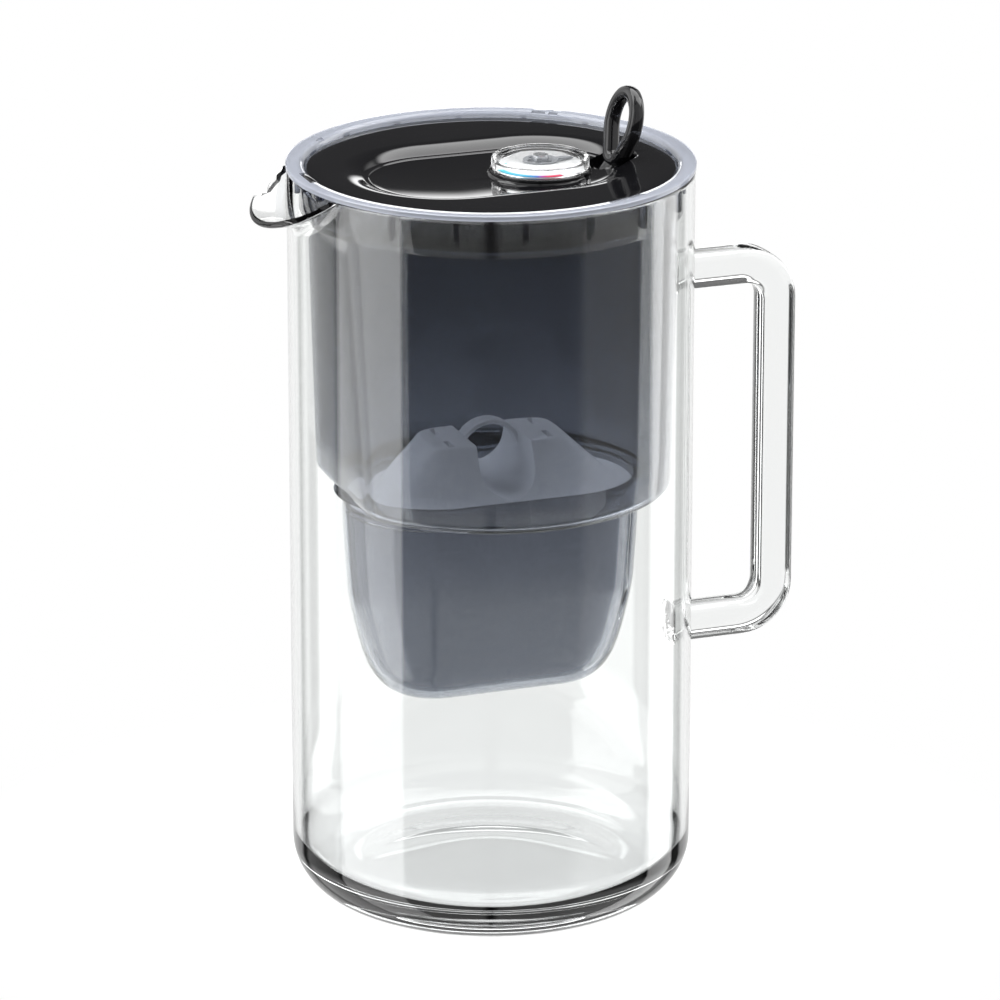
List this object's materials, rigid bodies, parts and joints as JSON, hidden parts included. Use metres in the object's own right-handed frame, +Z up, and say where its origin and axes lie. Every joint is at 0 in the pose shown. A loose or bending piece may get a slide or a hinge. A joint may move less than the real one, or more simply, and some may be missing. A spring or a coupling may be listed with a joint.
{
  "type": "water filter jug",
  "caption": "Straight glass jug with a pouring lip and square bar handle, a smoke grey hopper with an oval filter cartridge, and a black flip lid with finger loop and change dial.",
  "frame": {"origin": "centre of the foot, on the table", "axes": "+Z up, +X towards the handle, -X towards the spout"},
  "size_m": [0.1973, 0.1406, 0.2855],
  "materials": {
    "clear_glass": "gloss",
    "smoke_plastic": "gloss",
    "black_plastic": "gloss",
    "inner_black_plastic": "satin",
    "steel": "satin",
    "clear_plastic": "gloss",
    "white_plastic": "satin",
    "scale_print": "satin",
    "grey_plastic": "satin",
    "cartridge_plastic": "satin",
    "silicone": "matte",
    "mesh_fabric": "matte",
    "filter_granules": "matte"
  },
  "bodies": {
    "jug": {"jug_glass": "clear_glass", "handle": "clear_glass"},
    "hopper": {"hopper": "smoke_plastic", "hinge_pin": "steel"},
    "lid": {"lid_cover": "black_plastic", "lid_liner": "inner_black_plastic", "liner_screws": "steel", "finger_loop": "black_plastic", "loop_screw": "steel", "dial_base": "black_plastic", "scale_disc": "white_plastic", "scale_arc": "scale_print", "dial_pin": "steel"},
    "dial": {"dial_cap": "clear_plastic", "pointer_wheel": "grey_plastic"},
    "cartridge": {"cartridge_shell": "cartridge_plastic", "cartridge_cap": "cartridge_plastic", "cartridge_seal": "silicone", "upper_screen": "mesh_fabric", "filter_bed": "filter_granules", "lower_screen": "mesh_fabric"}
  },
  "joints": [
    {"name": "hopper_lift", "type": "slide", "parent": "jug", "child": "hopper", "axis": [0, 0, 1], "range_m": [0, 0.195]},
    {"name": "cartridge_lift", "type": "slide", "parent": "hopper", "child": "cartridge", "axis": [0, 0, 1], "range_m": [0, 0.075]},
    {"name": "lid_flip", "type": "hinge", "parent": "hopper", "child": "lid", "pos_m": [-0.0652, 0, 0.262], "axis": [0, -1, 0], "range_deg": [0, 95]},
    {"name": "dial_turn", "type": "hinge", "parent": "lid", "child": "dial", "pos_m": [0.018, 0, 0.26], "axis": [0, 0, 1], "range_deg": [0, 330]}
  ]
}
